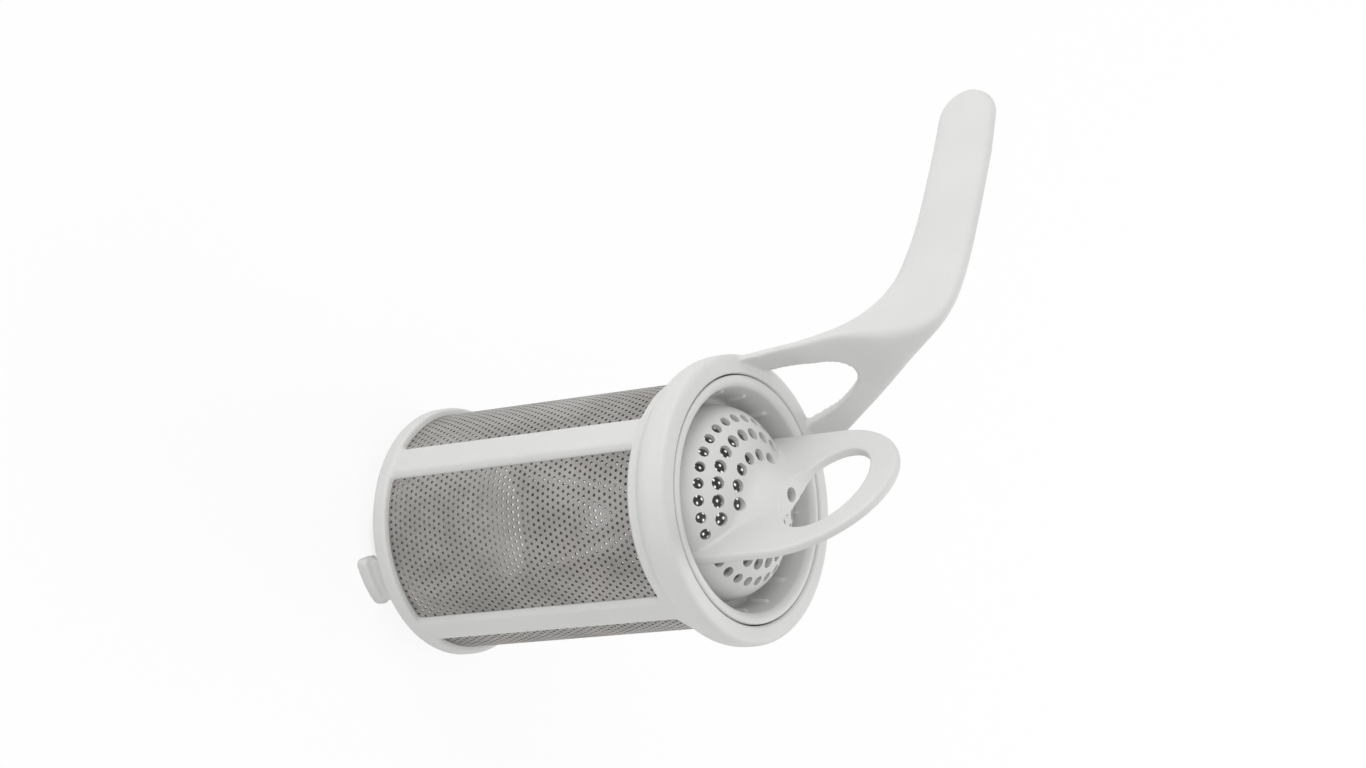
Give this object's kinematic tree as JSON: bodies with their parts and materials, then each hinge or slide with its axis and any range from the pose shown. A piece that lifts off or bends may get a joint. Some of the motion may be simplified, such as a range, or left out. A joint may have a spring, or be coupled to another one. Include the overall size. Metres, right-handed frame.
{
  "type": "dishwasher filter",
  "caption": "Cylinder filter with a turning lever, a perforated steel sleeve and a lift-out coarse sieve with a finger eyelet.",
  "frame": {"origin": "on the filter's axis, at the level of the bayonet lugs' undersides, which it stands on", "axes": "+Z along the filter's axis towards the collar, +X towards the lever's tip"},
  "size_m": [0.1863, 0.0806, 0.1616],
  "materials": {
    "grey_plastic": "satin moulded polypropylene",
    "perforated_steel": "fine perforated stainless sheet"
  },
  "bodies": {
    "cage": {"filter_cage": "grey_plastic", "mesh_sleeve": "perforated_steel"},
    "sieve": {"coarse_sieve": "grey_plastic"}
  },
  "joints": [
    {"name": "sieve_pull", "type": "slide", "parent": "cage", "child": "sieve", "axis": [0, 0, 1], "range_m": [0, 0.015]}
  ]
}
